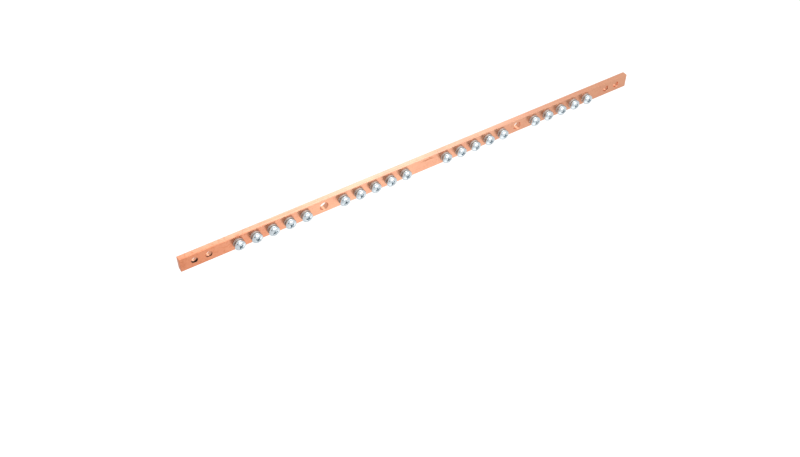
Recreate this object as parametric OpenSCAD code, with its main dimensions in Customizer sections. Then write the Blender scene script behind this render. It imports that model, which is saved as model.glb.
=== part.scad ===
// Rack grounding busbar: a drilled and tapped copper bar with banks of terminal screws,
// each screw seated on a split lock washer and two flat washers that take the cable lug.
// X runs along the bar, -Y faces the installer and +Z is up.
// The origin is the centre of the bar's back face.

/* [Bar] */
// Length of the copper bar, end to end
bar_length = 480; // [450:1:600]
// Height of the bar's front face
bar_height = 14; // [13:0.5:25]
// Thickness of the bar, front to back
bar_thickness = 5.5; // [4:0.25:8]
// Radius of the four long edges, left by drawing
edge_radius = 0.4; // [0.1:0.1:1]
// Bevel round the sawn ends, left by deburring
end_bevel = 0.3; // [0.1:0.1:1]

/* [Mounting holes] */
// Diameter of the two clearance holes at each end
end_hole_d = 6; // [5:0.1:8]
// Distance from the end of the bar to the outer hole
end_hole_inset = 13; // [8:0.5:15]
// Distance from the outer hole to the inner one
end_hole_pitch = 13; // [9:0.5:15]
// Diameter of the holes between the outer and inner banks
middle_hole_d = 8; // [5:0.1:9]
// Bevel at both mouths of every mounting hole
hole_bevel = 0.25; // [0.1:0.05:0.5]

/* [Terminal layout] */
// Banks of terminals on each side of the centre
banks_per_side = 2; // [1:1:2]
// Terminals in a bank
terminals_per_bank = 5; // [2:1:5]
// Distance between terminals in a bank
terminal_pitch = 16; // [12:0.5:18]
// Distance between the outer and the inner bank, screw to screw
side_gap = 37.5; // [24:0.5:50]
// Distance between the two banks at the centre, screw to screw
centre_gap = 44; // [16:0.5:60]

/* [Terminal screw] */
// Nominal diameter of the thread
thread_d = 5; // [4:0.1:6]
// Length of the screw under its head
screw_length = 12; // [10:0.5:20]
// Radial play between the thread and the tapped hole
thread_play = 0.05; // [0.02:0.01:0.1]
// Bevel at the screw's tip and at both mouths of the tapped hole
thread_bevel = 0.5; // [0.2:0.1:0.8]
// Diameter of the pan head
head_d = 10.2; // [9.4:0.1:12]
// Height of the pan head
head_height = 3.4; // [3.2:0.1:4.2]
// Height of the straight rim at the foot of the head
rim_height = 0.6; // [0.4:0.05:0.9]
// Radius of the rounded shoulder above the rim
shoulder_radius = 1.8; // [1:0.1:2.1]

/* [Cross recess] */
// Span of the wings, tip to tip, at the top of the head
recess_span = 5.4; // [4:0.1:6]
// Span of the wings at the bottom of the recess
recess_floor_span = 2.4; // [2:0.1:3.5]
// Width of a wing
wing_width = 1.2; // [0.8:0.05:1.5]
// Diameter of the central well at the top of the head
well_d = 3; // [2:0.1:3.5]
// Diameter of the central well at its floor
well_floor_d = 1.7; // [1.2:0.1:2]
// Depth of the recess
recess_depth = 2.6; // [1.5:0.1:2.8]

/* [Washers] */
// Flat washers under each lock washer; with two, the lug goes between them
flat_washer_count = 2; // [1:1:2]
// Outer diameter of the flat washers
flat_washer_d = 9.9; // [8.5:0.1:11]
// Thickness of one flat washer
flat_washer_thickness = 1.1; // [0.5:0.1:1.6]
// Outer diameter of the split lock washer
lock_washer_d = 9; // [8:0.1:10.5]
// Thickness of the lock washer, pressed flat
lock_washer_thickness = 1.4; // [0.8:0.1:2]
// Radial clearance between the washers and the screw
washer_clearance = 0.2; // [0.1:0.05:0.5]
// Bevel on the washers' edges
washer_bevel = 0.15; // [0.05:0.05:0.3]
// Width of the split in the lock washer
split_width = 0.8; // [0.3:0.1:1.5]
// Lean of the split from the washer's axis
split_lean = 30; // [0:1:40]

/* [Hidden] */
$fn = 64;
past = 1; // how far a cutting shape runs past the faces that it cuts
bank_count = 2 * banks_per_side;
terminal_count = bank_count * terminals_per_bank;
bank_length = (terminals_per_bank - 1) * terminal_pitch;
flat_stack = flat_washer_count * flat_washer_thickness;
head_seat = flat_stack + lock_washer_thickness;
washer_bore_r = thread_d / 2 + washer_clearance;
// Names of the flat washers' levels: the cable lug goes in front of the rear one
level_names = ["rear", "front"];
// Each screw stopped where it was tight, so the crosses lie at their own angles
cross_turns = [45, 60, 15, 45, 75, 15, 45, 15, 45, 60, 15, 75, 60, 0, 0, 30, 30, 0, 60, 0];
// Angle from one lock washer's split to the next one's
split_turn = 137;

function two_digits(i) = str(i < 10 ? "0" : "", i);
function flat_washers_name(level, bank) = str(level_names[level], "_flat_washers_bank_", bank);
function bank_start(b) = b < banks_per_side
    ? -bank_start(bank_count - 1 - b) - bank_length
    : centre_gap / 2 + (b - banks_per_side) * (bank_length + side_gap);
function terminal_x(i) = bank_start(floor((i - 1) / terminals_per_bank))
    + (i - 1) % terminals_per_bank * terminal_pitch;

end_hole_xs = [for (side = [-1, 1], n = [0, 1]) side * (bar_length / 2 - end_hole_inset - n * end_hole_pitch)];
middle_hole_xs = [for (b = [0 : bank_count - 2]) if (b != banks_per_side - 1)
    (bank_start(b) + bank_length + bank_start(b + 1)) / 2];

// ---- Busbar: drawn copper strip, sawn, drilled, tapped and deburred ----

module rounded_rectangle(width, height, radius) {
    square([width - 2 * radius, height], center = true);
    square([width, height - 2 * radius], center = true);
    for (x = [-1, 1], y = [-1, 1])
        translate([x * (width / 2 - radius), y * (height / 2 - radius)]) circle(radius);
}

module bevelled_rectangle(width, height, bevel) {
    x = width / 2;
    y = height / 2;
    polygon([[-x, -y + bevel], [-x + bevel, -y], [x - bevel, -y], [x, -y + bevel],
        [x, y - bevel], [x - bevel, y], [-x + bevel, y], [-x, y - bevel]]);
}

// The bar's blank: its rounded section, cut to length with a bevel round each end
module bar_blank() {
    translate([0, -bar_thickness / 2, 0]) intersection() {
        rotate([90, 0, 90]) linear_extrude(bar_length, center = true)
            rounded_rectangle(bar_thickness, bar_height, edge_radius);
        linear_extrude(bar_height + past, center = true)
            bevelled_rectangle(bar_length, bar_thickness, end_bevel);
        rotate([90, 0, 0]) linear_extrude(bar_thickness + past, center = true)
            bevelled_rectangle(bar_length, bar_height, end_bevel);
    }
}

// A cutter for one hole from front to back, flared at both mouths
module through_hole(x, diameter, bevel) {
    flare = bevel + past;
    translate([x, 0, 0]) rotate([90, 0, 0]) {
        translate([0, 0, -past]) cylinder(h = bar_thickness + 2 * past, d = diameter);
        translate([0, 0, -past])
            cylinder(h = flare, d1 = diameter + 2 * flare, d2 = diameter);
        translate([0, 0, bar_thickness - bevel])
            cylinder(h = flare, d1 = diameter, d2 = diameter + 2 * flare);
    }
}

module busbar() {
    color("#c98662") difference() {
        bar_blank();
        for (x = end_hole_xs) through_hole(x, end_hole_d, hole_bevel);
        for (x = middle_hole_xs) through_hole(x, middle_hole_d, hole_bevel);
        for (i = [1 : terminal_count]) through_hole(terminal_x(i), thread_d, thread_bevel / 2);
    }
}

// ---- Terminal stack: flat washers, lock washer and screw on one axis ----

// Puts a piece that is drawn standing on Z = 0 on the bar's front face
module at_terminal(i) {
    translate([terminal_x(i), -bar_thickness, 0]) rotate([90, 0, 0]) children();
}

// A washer's ring: inner and outer radius, thickness and bevelled edges
module washer_ring(inner_r, outer_r, thickness) {
    rotate_extrude() translate([(inner_r + outer_r) / 2, thickness / 2])
        bevelled_rectangle(outer_r - inner_r, thickness, washer_bevel);
}

// One level of a bank's flat washers; the levels touch, so each is a node and its rings stay apart
module flat_washers(level, bank) {
    color("#c3ccd2") for (n = [1 : terminals_per_bank])
        at_terminal((bank - 1) * terminals_per_bank + n)
            translate([0, 0, level * flat_washer_thickness])
                washer_ring(washer_bore_r, flat_washer_d / 2, flat_washer_thickness);
}

module lock_washer(i) {
    outer_r = lock_washer_d / 2;
    color("#aab3b8") at_terminal(i) translate([0, 0, flat_stack])
        rotate([0, 0, i * split_turn]) difference() {
            washer_ring(washer_bore_r, outer_r, lock_washer_thickness);
            translate([outer_r, 0, lock_washer_thickness / 2]) rotate([split_lean, 0, 0])
                cube([2 * (outer_r - washer_bore_r) + past, split_width, 4 * lock_washer_thickness],
                    center = true);
        }
}

// Half section of the pan head: straight rim, rounded shoulder and a flatter crown, all tangent
module head_section() {
    shoulder_x = head_d / 2 - shoulder_radius;
    rise = head_height - rim_height;
    crown_radius = (shoulder_x ^ 2 + rise ^ 2 - shoulder_radius ^ 2) / (2 * (rise - shoulder_radius));
    tangent_x = shoulder_x * crown_radius / (crown_radius - shoulder_radius);
    intersection() {
        translate([0, head_height - crown_radius]) circle(crown_radius, $fn = 256);
        square([head_d / 2, head_height]);
        union() {
            square([head_d / 2, rim_height]);
            square([tangent_x, head_height]);
            translate([shoulder_x, rim_height]) circle(shoulder_radius);
        }
    }
}

// Cutter for the cross recess: two crossed tapering blades and a tapering well with a drill point
module cross_recess() {
    top = head_height + past;
    floor_z = head_height - recess_depth;
    flare = (recess_span - recess_floor_span) / 2 / recess_depth;
    well_flare = (well_d - well_floor_d) / recess_depth;
    wing_top = recess_span / 2 + flare * past;
    for (turn = [0, 90]) rotate([90, 0, turn]) linear_extrude(wing_width, center = true)
        polygon([[-recess_floor_span / 2, floor_z], [recess_floor_span / 2, floor_z],
            [wing_top, top], [-wing_top, top]]);
    translate([0, 0, floor_z])
        cylinder(h = recess_depth + past, d1 = well_floor_d, d2 = well_d + well_flare * past);
    translate([0, 0, floor_z - well_floor_d / 4])
        cylinder(h = well_floor_d / 4, d1 = 0, d2 = well_floor_d);
}

module terminal_screw(i) {
    shank_r = thread_d / 2 - thread_play;
    color("#d5dde3") at_terminal(i) translate([0, 0, head_seat])
        rotate([0, 0, cross_turns[(i - 1) % len(cross_turns)]]) difference() {
            union() {
                rotate_extrude() head_section();
                translate([0, 0, thread_bevel - screw_length])
                    cylinder(h = screw_length - thread_bevel, r = shank_r);
                translate([0, 0, -screw_length])
                    cylinder(h = thread_bevel, r1 = shank_r - thread_bevel, r2 = shank_r);
            }
            cross_recess();
        }
}

busbar();
for (i = [1 : terminal_count])
    terminal_screw(i);
for (i = [1 : terminal_count])
    lock_washer(i);
for (level = [0 : flat_washer_count - 1], b = [1 : bank_count])
    flat_washers(level, b);
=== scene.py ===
"""Rack grounding busbar: the copper bar, its terminal stacks, and the studio round them."""
import math

import bmesh
import bpy
from mathutils import Matrix, Vector


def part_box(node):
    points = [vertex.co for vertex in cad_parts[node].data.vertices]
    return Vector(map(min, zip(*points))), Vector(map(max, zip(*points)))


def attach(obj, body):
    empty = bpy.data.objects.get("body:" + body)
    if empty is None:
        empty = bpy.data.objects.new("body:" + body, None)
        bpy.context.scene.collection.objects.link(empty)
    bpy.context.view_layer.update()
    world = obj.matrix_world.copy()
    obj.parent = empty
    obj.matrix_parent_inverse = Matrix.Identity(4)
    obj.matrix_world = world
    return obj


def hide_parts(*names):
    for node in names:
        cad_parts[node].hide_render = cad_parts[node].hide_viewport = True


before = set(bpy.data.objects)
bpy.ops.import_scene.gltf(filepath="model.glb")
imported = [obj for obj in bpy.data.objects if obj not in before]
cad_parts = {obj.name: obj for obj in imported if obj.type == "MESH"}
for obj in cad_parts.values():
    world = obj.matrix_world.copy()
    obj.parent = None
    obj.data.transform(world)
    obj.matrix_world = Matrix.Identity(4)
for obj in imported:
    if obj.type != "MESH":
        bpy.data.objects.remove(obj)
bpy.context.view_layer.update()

# ---- Copper bar ----
# One length of drawn copper strip, sawn to length, drilled, tapped and deburred. The shape is
# the CAD's own, with its loose triangles joined so that the hole walls and the rounded long
# edges shade smoothly. It is mounted through the plain holes.
MM = 0.001


def smooth_by_angle(bm, degrees):
    """Shades smooth, but keeps sharp the edges that turn by more than this."""
    for face in bm.faces:
        face.smooth = True
    for edge in bm.edges:
        edge.smooth = len(edge.link_faces) == 2 and edge.calc_face_angle(0) < math.radians(degrees)


# The bar's front face, and the screws' places along it, as the CAD parts have them
front_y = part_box("busbar")[0].y
terminal_xs = [round(sum(corner.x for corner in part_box(f"terminal_screw_{i:02d}")) / 2, 4)
               for i in range(1, 21)]
bar_bm = bmesh.new()
bar_bm.from_mesh(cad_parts["busbar"].data)
bmesh.ops.remove_doubles(bar_bm, verts=bar_bm.verts, dist=0.002 * MM)
smooth_by_angle(bar_bm, 35)


def linear(hex_colour):
    """An sRGB hex colour as the linear RGBA that the shaders take."""
    parts = [int(hex_colour[i:i + 2], 16) / 255 for i in (1, 3, 5)]
    return tuple(part / 12.92 if part <= 0.04045 else ((part + 0.055) / 1.055) ** 2.4
                 for part in parts) + (1.0,)


def new_material(name):
    """A material with one Principled shader, and its node tree."""
    material = bpy.data.materials.new(name)
    material.use_nodes = True
    return material, material.node_tree, material.node_tree.nodes["Principled BSDF"]


def add_node(tree, kind, settings=None, **sockets):
    """Adds a node. A socket given as another socket is linked, and any other value is set.

    A name such as _6 picks a socket by its place, and any other underscore is a space.
    """
    node = tree.nodes.new(kind)
    for name, value in (settings or {}).items():
        setattr(node, name, value)
    for name, value in sockets.items():
        socket = node.inputs[int(name[1:]) if name[1:].isdigit() else name.replace("_", " ")]
        if isinstance(value, bpy.types.NodeSocket):
            tree.links.new(value, socket)
        else:
            socket.default_value = value
    return node


# Drawn bare copper: the die leaves fine lines along the bar, and the air has started to tarnish
# it, so the eye gets soft streaks, a warm sheen and faint redder clouds and specks. The pale
# streaks also carry a painted highlight on the top face, and the left end is painted darker as
# painted shade. Round the washers a narrow red-brown ring is painted shade where the stacks stand.
# There are water spots near the left end and a few thin brown marks in the gap at the middle.
copper, tree, shader = new_material("drawn_bare_copper")
place = add_node(tree, "ShaderNodeTexCoord").outputs["Object"]
# Die lines: one in about 0.25 mm across the face, and tens of millimetres long
line_place = add_node(tree, "ShaderNodeMapping", Vector=place,
                      Scale=(1 / 0.060, 1 / 0.00025, 1 / 0.00025))
die_lines = add_node(tree, "ShaderNodeTexNoise", Vector=line_place.outputs[0],
                     Scale=1.0, Detail=3.0, Roughness=0.6)
# Wider bands, 1.2 mm across, which is as fine as shows from where the whole bar is seen
band_place = add_node(tree, "ShaderNodeMapping", Vector=place,
                      Scale=(1 / 0.120, 1 / 0.0012, 1 / 0.0012))
bands = add_node(tree, "ShaderNodeTexNoise", Vector=band_place.outputs[0],
                 Scale=1.0, Detail=2.0, Roughness=0.5)
# Tarnish clouds about 14 mm across
clouds = add_node(tree, "ShaderNodeTexNoise", Vector=place,
                  Scale=1 / 0.014, Detail=4.0, Roughness=0.6, Distortion=0.6)
# Specks about 1.5 mm across
specks = add_node(tree, "ShaderNodeTexNoise", Vector=place,
                  Scale=1 / 0.0015, Detail=2.0, Roughness=0.5)
cloud_share = add_node(tree, "ShaderNodeMapRange", Value=clouds.outputs[0],
                       From_Min=0.42, From_Max=0.75, To_Max=0.5)
speck_share = add_node(tree, "ShaderNodeMapRange", Value=specks.outputs[0],
                       From_Min=0.60, From_Max=0.75, To_Max=0.35)
band_share = add_node(tree, "ShaderNodeMapRange", Value=bands.outputs[0],
                      From_Min=0.42, From_Max=0.60, To_Min=0.35)
axes = add_node(tree, "ShaderNodeSeparateXYZ", Vector=place)
# The pale bands are also a painted highlight: they show most on the top face, which the light from above
# grazes
top_highlight_share = add_node(tree, "ShaderNodeMapRange", Value=axes.outputs["Z"],
                     From_Min=0.0062, From_Max=0.0069, To_Min=0.15, To_Max=0.75)
# The painted highlight fades towards the right end, and less so at the left one
highlight_fade_right = add_node(tree, "ShaderNodeMapRange", Value=axes.outputs["X"],
                      From_Min=0.05, From_Max=0.20, To_Min=1.0, To_Max=0.1)
highlight_fade_left = add_node(tree, "ShaderNodeMapRange", Value=axes.outputs["X"],
                     From_Min=-0.24, From_Max=-0.13, To_Min=0.3, To_Max=1.0)
highlight_fade = add_node(tree, "ShaderNodeMath", {"operation": "MULTIPLY"},
                      _0=highlight_fade_right.outputs[0], _1=highlight_fade_left.outputs[0])
streaks_and_top_highlight = add_node(tree, "ShaderNodeMath", {"operation": "MULTIPLY"},
                         _0=band_share.outputs[0], _1=top_highlight_share.outputs[0])
faded_streaks_and_highlight = add_node(tree, "ShaderNodeMath", {"operation": "MULTIPLY"},
                   _0=streaks_and_top_highlight.outputs[0], _1=highlight_fade.outputs[0])
# Painted shade: the left end is coloured darker than the rest
left_end_share = add_node(tree, "ShaderNodeMapRange", Value=axes.outputs["X"],
                      From_Min=-0.22, From_Max=-0.10, To_Min=1.0, To_Max=0.0)
metal_with_left_shade = add_node(tree, "ShaderNodeMix", {"data_type": "RGBA"}, Factor=left_end_share.outputs[0],
                 _6=linear("#f3b28f"), _7=linear("#e8966f"))
warm = add_node(tree, "ShaderNodeMix", {"data_type": "RGBA"}, Factor=cloud_share.outputs[0],
                _6=metal_with_left_shade.outputs[2], _7=linear("#e8987a"))
streaked_and_highlit = add_node(tree, "ShaderNodeMix", {"data_type": "RGBA"}, Factor=faded_streaks_and_highlight.outputs[0],
                  _6=warm.outputs[2], _7=linear("#facdb6"))
specked = add_node(tree, "ShaderNodeMix", {"data_type": "RGBA"}, Factor=speck_share.outputs[0],
                   _6=streaked_and_highlit.outputs[2], _7=linear("#cc7550"))
sheen = add_node(tree, "ShaderNodeMapRange", Value=clouds.outputs[0],
                 From_Min=0.3, From_Max=0.7, To_Min=0.32, To_Max=0.39)
relief = add_node(tree, "ShaderNodeBump", Height=die_lines.outputs[0],
                  Strength=0.20, Distance=0.00002)
# Water spots near the left end, about 4 mm across
water = add_node(tree, "ShaderNodeTexNoise", Vector=place,
                 Scale=1 / 0.004, Detail=4.0, Roughness=0.6, Distortion=0.8)
water_share = add_node(tree, "ShaderNodeMapRange", Value=water.outputs[0],
                       From_Min=0.50, From_Max=0.68, To_Max=0.6)
water_spots = add_node(tree, "ShaderNodeMath", {"operation": "MULTIPLY"},
                       _0=water_share.outputs[0], _1=left_end_share.outputs[0])
mottled = add_node(tree, "ShaderNodeMix", {"data_type": "RGBA"}, Factor=water_spots.outputs[0],
                   _6=specked.outputs[2], _7=linear("#d07a54"))
# A few brown marks, about 6 mm long and 1.2 mm high. The shift picks their part of the noise.
mark_place = add_node(tree, "ShaderNodeMapping", Vector=place, Location=(0.8, 0, 0.4),
                      Scale=(1 / 0.006, 1 / 0.0012, 1 / 0.0012))
marks = add_node(tree, "ShaderNodeTexNoise", Vector=mark_place.outputs[0],
                 Scale=1.0, Detail=2.0, Roughness=0.6)
mark_share = add_node(tree, "ShaderNodeMapRange", Value=marks.outputs[0],
                      From_Min=0.50, From_Max=0.62, To_Max=0.75)
# They lie in an oval on the upper half of the front, in the gap at the middle
oval_middle = (0.0035, front_y, 0.0044)
oval_half = (0.014, 0.004, 0.0022)
gap_place = add_node(tree, "ShaderNodeMapping", Vector=place,
                     Location=[-middle / half for middle, half in zip(oval_middle, oval_half)],
                     Scale=[1 / half for half in oval_half])
gap_away = add_node(tree, "ShaderNodeVectorMath", {"operation": "LENGTH"}, _0=gap_place.outputs[0])
gap_share = add_node(tree, "ShaderNodeMapRange", Value=gap_away.outputs["Value"],
                     From_Min=0.6, From_Max=1.0, To_Min=1.0, To_Max=0.0)
gap_marks = add_node(tree, "ShaderNodeMath", {"operation": "MULTIPLY"},
                     _0=mark_share.outputs[0], _1=gap_share.outputs[0])
marked = add_node(tree, "ShaderNodeMix", {"data_type": "RGBA"}, Factor=gap_marks.outputs[0],
                  _6=mottled.outputs[2], _7=linear("#b8643c"))
# The rings of painted shade follow the distance to the nearest screw, which starts at more than any real
# one
nearest = 1.0
for x in terminal_xs:
    away = add_node(tree, "ShaderNodeVectorMath", {"operation": "DISTANCE"},
                    _0=place, _1=(x, front_y, 0))
    nearest = add_node(tree, "ShaderNodeMath", {"operation": "MINIMUM"},
                       _0=away.outputs["Value"], _1=nearest).outputs[0]
ring_shade_share = add_node(tree, "ShaderNodeMapRange", {"interpolation_type": "SMOOTHSTEP"}, Value=nearest,
                      From_Min=0.0049, From_Max=0.0057, To_Min=0.50, To_Max=0.0)
ring_shaded = add_node(tree, "ShaderNodeMix", {"data_type": "RGBA"}, Factor=ring_shade_share.outputs[0],
                  _6=marked.outputs[2], _7=linear("#b9562f"))
tree.links.new(ring_shaded.outputs[2], shader.inputs["Base Color"])
tree.links.new(sheen.outputs[0], shader.inputs["Roughness"])
tree.links.new(relief.outputs[0], shader.inputs["Normal"])
shader.inputs["Metallic"].default_value = 1.0

# Walls of the mounting holes. Painted shade darkens the mouths of three of the four end holes,
# so the eye gets a dark crescent there and pink metal deeper in.
bore_copper, tree, shader = new_material("drilled_copper_bore")
place = add_node(tree, "ShaderNodeTexCoord").outputs["Object"]
axes = add_node(tree, "ShaderNodeSeparateXYZ", Vector=place)
painted_shade_depth = add_node(tree, "ShaderNodeAttribute", {"attribute_name": "painted_shade_depth"})
shade_edge = add_node(tree, "ShaderNodeMath", {"operation": "ADD"},
                     _0=painted_shade_depth.outputs["Fac"], _1=front_y)
past_shade = add_node(tree, "ShaderNodeMath", {"operation": "SUBTRACT"},
                     _0=axes.outputs["Y"], _1=shade_edge.outputs[0])
unshaded = add_node(tree, "ShaderNodeMapRange", Value=past_shade.outputs[0],
                 From_Min=-0.0003, From_Max=0.0002)
bore_tone = add_node(tree, "ShaderNodeMix", {"data_type": "RGBA"}, Factor=unshaded.outputs[0],
                     _6=linear("#3c2c25"), _7=linear("#f3b08f"))
tree.links.new(bore_tone.outputs[2], shader.inputs["Base Color"])
shader.inputs["Metallic"].default_value = 1.0
shader.inputs["Roughness"].default_value = 0.32

# How deep the painted shade goes in each mounting hole, by the hole's place along the bar
painted_shade_depths = {-0.227: 2.7 * MM, -0.214: 1.5 * MM, -0.10475: 0.0,
               0.10475: 0.0, 0.214: 0.8 * MM, 0.227: 0.0}
# The widest hole's radius is 4 mm, and its walls stand square to the front
wall_reach = 4.2 * MM
wall_tilt = 0.2
shade_layer = bar_bm.verts.layers.float.new("painted_shade_depth")
for face in bar_bm.faces:
    middle = face.calc_center_median()
    for x, depth in painted_shade_depths.items():
        if abs(face.normal.y) < wall_tilt and math.hypot(middle.x - x, middle.z) < wall_reach:
            face.material_index = 1
            for vert in face.verts:
                vert[shade_layer] = depth


def scene_object(name, bm):
    """Puts an object with this bmesh for its mesh in the scene, and frees the bmesh."""
    mesh = bpy.data.meshes.new(name)
    bm.to_mesh(mesh)
    bm.free()
    thing = bpy.data.objects.new(name, mesh)
    bpy.context.scene.collection.objects.link(thing)
    return thing


def finished_piece(name, bm, material, slot, *nodes):
    """Turns a bmesh into a piece that rides on the part and stands for its CAD nodes."""
    piece = scene_object(name, bm)
    piece.data.materials.append(material)
    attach(piece, "root")
    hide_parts(*nodes)
    return piece


def weigh_normals(piece):
    """Lets the larger faces rule the shading where they meet, and keeps the sharp edges."""
    weighted = piece.modifiers.new("Weighted Normal", "WEIGHTED_NORMAL")
    weighted.keep_sharp = True


bar = finished_piece("copper_bar", bar_bm, copper, "copper_bar", "busbar")
bar.data.materials.append(bore_copper)
weigh_normals(bar)

# ---- Flat washers ----
# Two stamped and zinc plated steel rings under every lock washer; the cable's lug is clamped
# between them. The edges are rounded by the tumbling before plating.
bank_size = 5
washer_bore_r = 2.7 * MM
flat_washer_r = 4.95 * MM
flat_washer_thickness = 1.1 * MM
flat_stack = 2 * flat_washer_thickness
flat_rounding = 0.28 * MM


def ring_section(bm, inner_r, outer_r, low, high, rounding):
    """A washer's section, standing in the XZ plane, with its four corners rounded."""
    corners = [bm.verts.new(corner) for corner in
               ((inner_r, 0, low), (outer_r, 0, low), (outer_r, 0, high), (inner_r, 0, high))]
    bm.faces.new(corners)
    bmesh.ops.bevel(bm, geom=corners, offset=rounding, segments=3, profile=0.5,
                    affect="VERTICES", material=-1)


def mark_seams(bm, thickness, rounding):
    """Marks the rounded edges of a ring that lies on Z = 0, where shade is painted between the rings of the
    stack.
    """
    seam = bm.verts.layers.float.new("seam")
    for vert in bm.verts:
        vert[seam] = 1 - min(1, max(0, min(vert.co.z, thickness - vert.co.z)) / rounding)


def on_terminal(bm, x, height, turn):
    """Stands a piece drawn on Z = 0 on the bar's front face, at its height in the stack."""
    stand = (Matrix.Translation((x, front_y, 0)) @ Matrix.Rotation(math.pi / 2, 4, "X")
             @ Matrix.Translation((0, 0, height)) @ Matrix.Rotation(turn, 4, "Z"))
    bmesh.ops.transform(bm, matrix=stand, verts=bm.verts)


# Washer steel, zinc plated in a barrel: pale and cold, with a dull, cloudy sheen
washer_zinc, tree, shader = new_material("barrel_plated_zinc")
place = add_node(tree, "ShaderNodeTexCoord").outputs["Object"]
# Spangle of the plating, about 0.6 mm
spangle = add_node(tree, "ShaderNodeTexNoise", Vector=place,
                   Scale=1 / 0.0006, Detail=3.0, Roughness=0.55)
tone = add_node(tree, "ShaderNodeMix", {"data_type": "RGBA"}, Factor=spangle.outputs[0],
                _6=linear("#e6e6e2"), _7=linear("#f5f5f3"))
sheen = add_node(tree, "ShaderNodeMapRange", Value=spangle.outputs[0],
                 From_Min=0.3, From_Max=0.7, To_Min=0.52, To_Max=0.62)
relief = add_node(tree, "ShaderNodeBump", Height=spangle.outputs[0],
                  Strength=0.15, Distance=0.00002)
# Painted shade in the seams between the rings, so that each ring shows as a bright band
seam_shade = linear("#8f8982")
seam = add_node(tree, "ShaderNodeAttribute", {"attribute_name": "seam"})
seam_shaded = add_node(tree, "ShaderNodeMix", {"data_type": "RGBA"}, Factor=seam.outputs["Fac"],
                  _6=tone.outputs[2], _7=seam_shade)
tree.links.new(seam_shaded.outputs[2], shader.inputs["Base Color"])
tree.links.new(sheen.outputs[0], shader.inputs["Roughness"])
tree.links.new(relief.outputs[0], shader.inputs["Normal"])
shader.inputs["Metallic"].default_value = 1.0

for level, side in enumerate(("rear", "front")):
    for bank in range(len(terminal_xs) // bank_size):
        bm = bmesh.new()
        for x in terminal_xs[bank_size * bank:bank_size * (bank + 1)]:
            ring = bmesh.new()
            ring_section(ring, washer_bore_r, flat_washer_r, 0, flat_washer_thickness, flat_rounding)
            bmesh.ops.spin(ring, geom=ring.faces[:], axis=(0, 0, 1), angle=2 * math.pi, steps=72,
                           use_merge=True)
            # The section that was spun is still there, inside the ring
            sections = [face for face in ring.faces
                        if abs(face.normal.y) > 0.999 and len(face.verts) > 4]
            bmesh.ops.delete(ring, geom=sections, context="FACES")
            bmesh.ops.remove_doubles(ring, verts=ring.verts, dist=0.001 * MM)
            bmesh.ops.recalc_face_normals(ring, faces=ring.faces)
            mark_seams(ring, flat_washer_thickness, flat_rounding)
            on_terminal(ring, x, level * flat_washer_thickness, 0)
            ring_mesh = bpy.data.meshes.new("washer")
            ring.to_mesh(ring_mesh)
            ring.free()
            bm.from_mesh(ring_mesh)
            bpy.data.meshes.remove(ring_mesh)
        smooth_by_angle(bm, 40)
        finished_piece(f"{side}_flat_washers_{bank + 1}", bm, washer_zinc, "flat_washer_zinc",
                       f"{side}_flat_washers_bank_{bank + 1}")

# ---- Split lock washers ----
# A coil of square spring wire cut slantwise, hardened and zinc plated. The tightened screw has
# pressed it flat, and the cut's two edges bite into the head and the flat washer.
lock_washer_r = 4.5 * MM
lock_washer_thickness = 1.4 * MM
lock_rounding = 0.32 * MM
split_width = 0.8 * MM
split_lean = math.radians(30)
split_turn = math.radians(137)

# Zinc plated spring steel: a little greyer than the flat washers, because hardening darkens it
spring_zinc, tree, shader = new_material("zinc_plated_spring_steel")
place = add_node(tree, "ShaderNodeTexCoord").outputs["Object"]
# Scale and plating spots, about 0.8 mm, and hardly any sheen
scale_spots = add_node(tree, "ShaderNodeTexNoise", Vector=place,
                       Scale=1 / 0.0008, Detail=3.0, Roughness=0.6)
tone = add_node(tree, "ShaderNodeMix", {"data_type": "RGBA"}, Factor=scale_spots.outputs[0],
                _6=linear("#dbdbd7"), _7=linear("#eeeeeb"))
sheen = add_node(tree, "ShaderNodeMapRange", Value=scale_spots.outputs[0],
                 From_Min=0.3, From_Max=0.7, To_Min=0.55, To_Max=0.65)
relief = add_node(tree, "ShaderNodeBump", Height=scale_spots.outputs[0],
                  Strength=0.2, Distance=0.00003)
# The same painted shade in its seams
seam = add_node(tree, "ShaderNodeAttribute", {"attribute_name": "seam"})
seam_shaded = add_node(tree, "ShaderNodeMix", {"data_type": "RGBA"}, Factor=seam.outputs["Fac"],
                  _6=tone.outputs[2], _7=seam_shade)
tree.links.new(seam_shaded.outputs[2], shader.inputs["Base Color"])
tree.links.new(sheen.outputs[0], shader.inputs["Roughness"])
tree.links.new(relief.outputs[0], shader.inputs["Normal"])
shader.inputs["Metallic"].default_value = 1.0

# Half the cut as an angle, at the wire's middle
half_split = split_width / (washer_bore_r + lock_washer_r)
for i, x in enumerate(terminal_xs, 1):
    bm = bmesh.new()
    ring_section(bm, washer_bore_r, lock_washer_r, 0, lock_washer_thickness, lock_rounding)
    bmesh.ops.rotate(bm, verts=bm.verts, matrix=Matrix.Rotation(half_split, 3, "Z"))
    bmesh.ops.spin(bm, geom=bm.faces[:], axis=(0, 0, 1), angle=2 * (math.pi - half_split), steps=70)
    for vert in bm.verts:
        radius = math.hypot(vert.co.x, vert.co.y)
        lean = -math.tan(split_lean) * (vert.co.z - lock_washer_thickness / 2) / radius
        vert.co.rotate(Matrix.Rotation(lean, 3, "Z"))
    bmesh.ops.recalc_face_normals(bm, faces=bm.faces)
    mark_seams(bm, lock_washer_thickness, lock_rounding)
    on_terminal(bm, x, flat_stack, i * split_turn)
    smooth_by_angle(bm, 40)
    finished_piece(f"split_washer_{i:02d}", bm, spring_zinc, "lock_washer_steel", f"lock_washer_{i:02d}")

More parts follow.
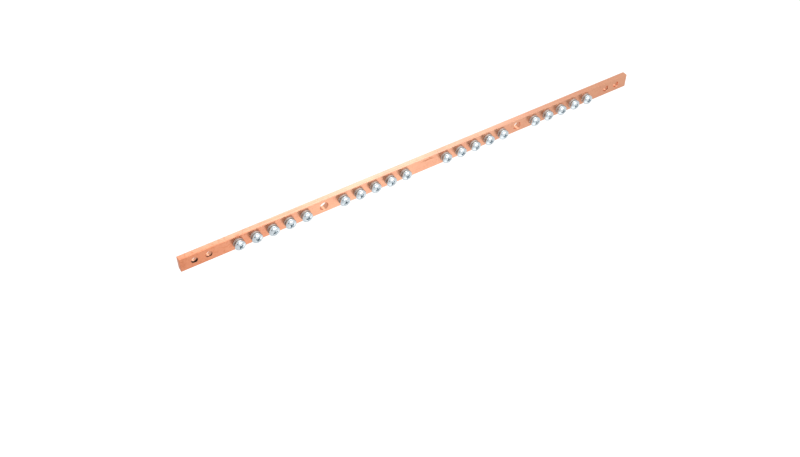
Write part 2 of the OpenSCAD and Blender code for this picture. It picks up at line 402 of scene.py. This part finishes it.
# ---- Terminal screws ----
# A cold-headed steel machine screw with a pan head, a stamped cross recess and a rolled thread,
# zinc plated. It clamps a ring terminal under its washers, and its tip stands out behind the bar.
head_seat = flat_stack + lock_washer_thickness
head_r = 5.1 * MM
head_height = 3.4 * MM
rim_height = 0.6 * MM
shoulder_radius = 1.8 * MM
foot_round = 0.12 * MM
screw_length = 12.0 * MM
core_r = 2.02 * MM
thread_r = 2.45 * MM
thread_pitch = 0.8 * MM
# Each screw stopped where it was tight, so the crosses lie at their own angles, in degrees
cross_turns = [45, 60, 15, 45, 75, 15, 45, 15, 45, 60, 15, 75, 60, 0, 0, 30, 30, 0, 60, 0]


def spin_end(bm, vert, centre, angle, steps):
    """Draws an arc from the free end of a profile in the XZ plane, and gives its new end."""
    made = bmesh.ops.spin(bm, geom=[vert], cent=centre, axis=(0, -1, 0), angle=angle, steps=steps)
    return [item for item in made["geom_last"] if isinstance(item, bmesh.types.BMVert)][0]


def extrude_end(bm, vert, offset):
    """Draws a straight line from the free end of a profile, and gives its new end."""
    made = bmesh.ops.extrude_vert_indiv(bm, verts=[vert])["verts"][0]
    made.co += Vector(offset)
    return made


def turn_profile(bm, steps):
    """Turns a profile in the XZ plane once round the screw's axis."""
    bmesh.ops.spin(bm, geom=bm.verts[:] + bm.edges[:], axis=(0, 0, 1), angle=2 * math.pi, steps=steps,
                   use_merge=True)


# The head: underside, small round at the foot, straight rim, rounded shoulder and flatter crown,
# the last arc running on from the one before
rise = head_height - rim_height
shoulder_x = head_r - shoulder_radius
crown_radius = (shoulder_x ** 2 + rise ** 2 - shoulder_radius ** 2) / (2 * (rise - shoulder_radius))
crown_angle = math.asin(shoulder_x / (crown_radius - shoulder_radius))
head_bm = bmesh.new()
end = head_bm.verts.new((0, 0, 0))
end = extrude_end(head_bm, end, (head_r - foot_round, 0, 0))
end = spin_end(head_bm, end, (head_r - foot_round, 0, foot_round), math.pi / 2, 3)
end = extrude_end(head_bm, end, (0, 0, rim_height - foot_round))
end = spin_end(head_bm, end, (shoulder_x, 0, rim_height), math.pi / 2 - crown_angle, 10)
spin_end(head_bm, end, (0, 0, head_height - crown_radius), crown_angle, 10)
turn_profile(head_bm, 96)
bmesh.ops.remove_doubles(head_bm, verts=head_bm.verts, dist=0.001 * MM)
bmesh.ops.recalc_face_normals(head_bm, faces=head_bm.faces)
head = scene_object("head", head_bm)

# The cross recess: two crossed blades that taper to the floor, and a well with a drill point
recess_depth = 2.6 * MM
floor_z = head_height - recess_depth
cutter_overrun = 0.5 * MM
wing_top_half = 2.99 * MM
wing_floor_half = 1.2 * MM
wing_half_width = 0.6 * MM
wing_corner = 0.22 * MM
well_top_r = 1.625 * MM
well_floor_r = 0.85 * MM
well_height = recess_depth + cutter_overrun
point_r = 0.84 * MM
point_height = 0.425 * MM
point_drop = 0.2 * MM


def mesh_as_shown(thing):
    """A new mesh with the object's modifiers applied."""
    bpy.context.view_layer.update()
    return bpy.data.meshes.new_from_object(thing.evaluated_get(bpy.context.evaluated_depsgraph_get()))


def cut_from_head(name, bm):
    """Cuts this shape from the head, and removes the cutter."""
    bmesh.ops.recalc_face_normals(bm, faces=bm.faces)
    cutter = scene_object(name, bm)
    cut = head.modifiers.new(name, "BOOLEAN")
    cut.operation = "DIFFERENCE"
    cut.solver = "EXACT"
    cut.object = cutter
    result = mesh_as_shown(head)
    head.modifiers.clear()
    head.data = result
    bpy.data.objects.remove(cutter)


for turn in (0, math.pi / 2):
    blade = bmesh.new()
    bmesh.ops.create_cube(blade, size=1)
    for vert in blade.verts:
        top = vert.co.z > 0
        half_span = wing_top_half if top else wing_floor_half
        height = head_height + cutter_overrun if top else floor_z
        vert.co = Vector((math.copysign(half_span, vert.co.x),
                          math.copysign(wing_half_width, vert.co.y), height))
    upright = [edge for edge in blade.edges
               if abs(edge.verts[0].co.z - edge.verts[1].co.z) > MM]
    bmesh.ops.bevel(blade, geom=upright, offset=wing_corner, segments=3, profile=0.5,
                    affect="EDGES", material=-1)
    bmesh.ops.rotate(blade, verts=blade.verts, matrix=Matrix.Rotation(turn, 3, "Z"))
    cut_from_head("blade", blade)
well = bmesh.new()
bmesh.ops.create_cone(well, cap_ends=True, segments=48, radius1=well_floor_r, radius2=well_top_r,
                      depth=well_height, matrix=Matrix.Translation((0, 0, floor_z + well_height / 2)))
cut_from_head("well", well)
point = bmesh.new()
bmesh.ops.create_cone(point, cap_ends=True, segments=48, radius1=0, radius2=point_r,
                      depth=point_height, matrix=Matrix.Translation((0, 0, floor_z - point_drop)))
cut_from_head("point", point)
softened = head.modifiers.new("Bevel", "BEVEL")
softened.width = 0.05 * MM
softened.segments = 2
softened.limit_method = "ANGLE"
softened.angle_limit = math.radians(40)
softened.use_clamp_overlap = False
head_mesh = mesh_as_shown(head)
bpy.data.objects.remove(head)

# The shank: a core that starts inside the head and ends in a bevelled tip with a slight point
core_overlap = 0.1 * MM
tip_bevel_width = 0.35 * MM
tip_bevel_height = 0.55 * MM
tip_point = 0.02 * MM
shank_bm = bmesh.new()
end = shank_bm.verts.new((core_r, 0, core_overlap))
end = extrude_end(shank_bm, end, (0, 0, -screw_length + tip_bevel_height))
end = extrude_end(shank_bm, end, (-tip_bevel_width, 0, -tip_bevel_height - core_overlap + tip_point))
extrude_end(shank_bm, end, (-core_r + tip_bevel_width, 0, -tip_point))
turn_profile(shank_bm, 48)

# The rolled thread, wound on the core as one rib whose foot is sunk into it
rib_start = -screw_length + 0.45 * MM
rib_foot_r = core_r - 0.1 * MM
foot_half = 0.34 * MM
crest_half = 0.06 * MM
rib_turns = 14
steps_in_turn = 28
rib_bm = bmesh.new()
rib_corners = [rib_bm.verts.new(corner) for corner in
               ((rib_foot_r, 0, rib_start - foot_half), (thread_r, 0, rib_start - crest_half),
                (thread_r, 0, rib_start + crest_half), (rib_foot_r, 0, rib_start + foot_half))]
rib_bm.faces.new(rib_corners)
bmesh.ops.spin(rib_bm, geom=rib_bm.faces[:], axis=(0, 0, 1), angle=2 * math.pi * rib_turns,
               steps=steps_in_turn * rib_turns, dvec=(0, 0, thread_pitch / steps_in_turn))
# Towards the tip, the rib fades to this share of its height
least_rib = 0.25
fade_height = 0.6 * MM
for vert in rib_bm.verts:
    radius = math.hypot(vert.co.x, vert.co.y)
    full = min(1, max(0, (vert.co.z - rib_start) / fade_height))
    limit = core_r + (thread_r - core_r) * (least_rib + (1 - least_rib) * full)
    if radius > limit:
        vert.co.x *= limit / radius
        vert.co.y *= limit / radius
for part_bm in (shank_bm, rib_bm):
    bmesh.ops.remove_doubles(part_bm, verts=part_bm.verts, dist=0.0005 * MM)
    bmesh.ops.recalc_face_normals(part_bm, faces=part_bm.faces)
rib_mesh = bpy.data.meshes.new("rib")
rib_bm.to_mesh(rib_mesh)
rib_bm.free()
shank_bm.from_mesh(rib_mesh)
shank_mesh = bpy.data.meshes.new("shank")
shank_bm.to_mesh(shank_mesh)
shank_bm.free()

# Bright zinc plate with a clear blue passivate: nearly a mirror on the dome, and cold in tone
screw_zinc, tree, shader = new_material("bright_blue_zinc_plate")
place = add_node(tree, "ShaderNodeTexCoord").outputs["Object"]
# Cloudiness of the passivate, about 2 mm, and the plating's grain, about 0.25 mm
haze = add_node(tree, "ShaderNodeTexNoise", Vector=place,
                Scale=1 / 0.002, Detail=3.0, Roughness=0.5)
grain = add_node(tree, "ShaderNodeTexNoise", Vector=place,
                 Scale=1 / 0.00025, Detail=2.0, Roughness=0.5)
tone = add_node(tree, "ShaderNodeMix", {"data_type": "RGBA"}, Factor=haze.outputs[0],
                _6=linear("#d9e6ee"), _7=linear("#edf4f8"))
sheen = add_node(tree, "ShaderNodeMapRange", Value=haze.outputs[0],
                 From_Min=0.3, From_Max=0.7, To_Min=0.16, To_Max=0.28)
relief = add_node(tree, "ShaderNodeBump", Height=grain.outputs[0],
                  Strength=0.12, Distance=0.00001)
# Painted shade in the depth of the recess
recess_shade = add_node(tree, "ShaderNodeAttribute", {"attribute_name": "recess"})
recess_shaded = add_node(tree, "ShaderNodeMix", {"data_type": "RGBA"}, Factor=recess_shade.outputs["Fac"],
                   _6=tone.outputs[2], _7=linear("#7b898e"))
tree.links.new(recess_shaded.outputs[2], shader.inputs["Base Color"])
tree.links.new(sheen.outputs[0], shader.inputs["Roughness"])
tree.links.new(relief.outputs[0], shader.inputs["Normal"])
shader.inputs["Metallic"].default_value = 1.0

# The painted shade grows with the depth below the crown, and the well at the middle has little of it
recess_reach = 2.9 * MM
underside_reach = 0.01 * MM
full_shade_depth = 0.5 * MM
well_reach = 1.25 * MM
well_shade = 0.1
for i, x in enumerate(terminal_xs, 1):
    bm = bmesh.new()
    bm.from_mesh(head_mesh)
    recess = bm.verts.layers.float.new("recess")
    for vert in bm.verts:
        radius = math.hypot(vert.co.x, vert.co.y)
        if radius < recess_reach and vert.co.z > underside_reach:
            crown_z = head_height - crown_radius + math.sqrt(crown_radius ** 2 - radius ** 2)
            share = 1.0 if radius > well_reach else well_shade
            vert[recess] = min(1, (crown_z - vert.co.z) / full_shade_depth) * share
    bm.from_mesh(shank_mesh)
    on_terminal(bm, x, head_seat, math.radians(cross_turns[i - 1]))
    smooth_by_angle(bm, 32)
    weigh_normals(finished_piece(f"screw_{i:02d}", bm, screw_zinc, "screw_zinc", f"terminal_screw_{i:02d}"))
for spare in (head_mesh, shank_mesh, rib_mesh):
    bpy.data.meshes.remove(spare)

# ---- Studio ----
# The bar hangs in the air as it does between its supports, over a sheet of white paper, in the
# even light of a white tent with two large soft lamps.
paper_z = -0.22
floor_bm = bmesh.new()
bmesh.ops.create_grid(floor_bm, x_segments=1, y_segments=1, size=4)
bmesh.ops.translate(floor_bm, verts=floor_bm.verts, vec=(0, 0, paper_z))
floor = scene_object("floor", floor_bm)
paper, tree, shader = new_material("white_paper")
shader.inputs["Base Color"].default_value = linear("#a6a6a6")
shader.inputs["Roughness"].default_value = 0.9
rays = add_node(tree, "ShaderNodeLightPath")
seen = add_node(tree, "ShaderNodeMath", {"operation": "MAXIMUM"},
                _0=rays.outputs["Is Camera Ray"], _1=rays.outputs["Is Transmission Ray"])
even = add_node(tree, "ShaderNodeMath", {"operation": "MULTIPLY"}, _0=seen.outputs[0], _1=0.78)
# The lamps' pool of light on the paper in front of the bar, as the metal mirrors it
place = add_node(tree, "ShaderNodeTexCoord").outputs["Object"]
pool_place = add_node(tree, "ShaderNodeMapping", Vector=place,
                      Location=(-0.03, 0.36, -paper_z), Scale=(1, 1.5, 1))
pool_away = add_node(tree, "ShaderNodeVectorMath", {"operation": "LENGTH"}, _0=pool_place.outputs[0])
pool = add_node(tree, "ShaderNodeMapRange", {"interpolation_type": "SMOOTHSTEP"},
                Value=pool_away.outputs["Value"],
                From_Min=0.08, From_Max=0.36, To_Min=0.96, To_Max=0.40)
mirrored = add_node(tree, "ShaderNodeMath", {"operation": "MULTIPLY"},
                    _0=rays.outputs["Is Glossy Ray"], _1=pool.outputs[0])
glow = add_node(tree, "ShaderNodeMath", {"operation": "MAXIMUM"},
                _0=even.outputs[0], _1=mirrored.outputs[0])
tree.links.new(glow.outputs[0], shader.inputs["Emission Strength"])
shader.inputs["Emission Color"].default_value = (1, 1, 1, 1)
floor.data.materials.append(paper)

# The dark opening of the tent at the front left, which gives the bright heads a dark accent
opening_distance = 1.2
opening_bm = bmesh.new()
bmesh.ops.create_grid(opening_bm, x_segments=1, y_segments=1, size=0.5)
opening = scene_object("tent_opening", opening_bm)
outwards = Vector((-0.60, -0.74, 0.25)).normalized()
opening.location = outwards * opening_distance
opening.rotation_mode = "QUATERNION"
opening.rotation_quaternion = (-outwards).to_track_quat("Z", "Y")
opening.scale = (0.62, 0.46, 1)
opening.visible_camera = False
dark_room, tree, shader = new_material("dark_room")
shader.inputs["Base Color"].default_value = linear("#16191b")
shader.inputs["Roughness"].default_value = 0.9
opening.data.materials.append(dark_room)

# The tent's white walls, full white behind the bar and a little less as light on it
world = bpy.data.worlds.new("tent")
world.use_nodes = True
bpy.context.scene.world = world
tree = world.node_tree
rays = add_node(tree, "ShaderNodeLightPath")
backdrop = add_node(tree, "ShaderNodeMath", {"operation": "MAXIMUM"},
                    _0=rays.outputs["Is Camera Ray"], _1=rays.outputs["Is Transmission Ray"])
strength = add_node(tree, "ShaderNodeMapRange", Value=backdrop.outputs[0], To_Min=0.75, To_Max=1.0)
tree.nodes["Background"].inputs["Color"].default_value = (1, 1, 1, 1)
tree.links.new(strength.outputs[0], tree.nodes["Background"].inputs["Strength"])


def soft_lamp(name, direction, distance, size, radiance):
    """A square soft lamp that looks at the bar's middle from this direction."""
    light = bpy.data.lights.new(name, "AREA")
    light.shape = "SQUARE"
    light.size = size
    light.energy = radiance * math.pi * size ** 2
    lamp = bpy.data.objects.new(name, light)
    bpy.context.scene.collection.objects.link(lamp)
    towards = Vector(direction).normalized()
    lamp.location = towards * distance
    lamp.rotation_mode = "QUATERNION"
    lamp.rotation_quaternion = towards.to_track_quat("Z", "Y")


soft_lamp("key_lamp", (0.20, -0.84, 0.46), 1.5, 1.05, 1.9)
soft_lamp("top_lamp", (0.22, 0.62, 0.67), 1.5, 0.9, 1.15)

# The camera stands to the front left and above, and looks at a point below the bar
camera_data = bpy.data.cameras.new("camera")
camera_data.lens = 43.9
camera_data.sensor_width = 36
camera_data.clip_start = 0.01
camera_data.clip_end = 20
camera = bpy.data.objects.new("camera", camera_data)
bpy.context.scene.collection.objects.link(camera)
camera_aim = Vector((-0.02674, front_y, -0.06979))
azimuth = math.radians(-31.695)
elevation = math.radians(45.647)
distance = 0.93276
towards_camera = Vector((math.sin(azimuth) * math.cos(elevation),
                         -math.cos(azimuth) * math.cos(elevation), math.sin(elevation)))
camera.location = camera_aim + towards_camera * distance
camera.rotation_mode = "QUATERNION"
camera.rotation_quaternion = towards_camera.to_track_quat("Z", "Y")
bpy.context.scene.camera = camera
bpy.context.scene.view_settings.view_transform = "Standard"
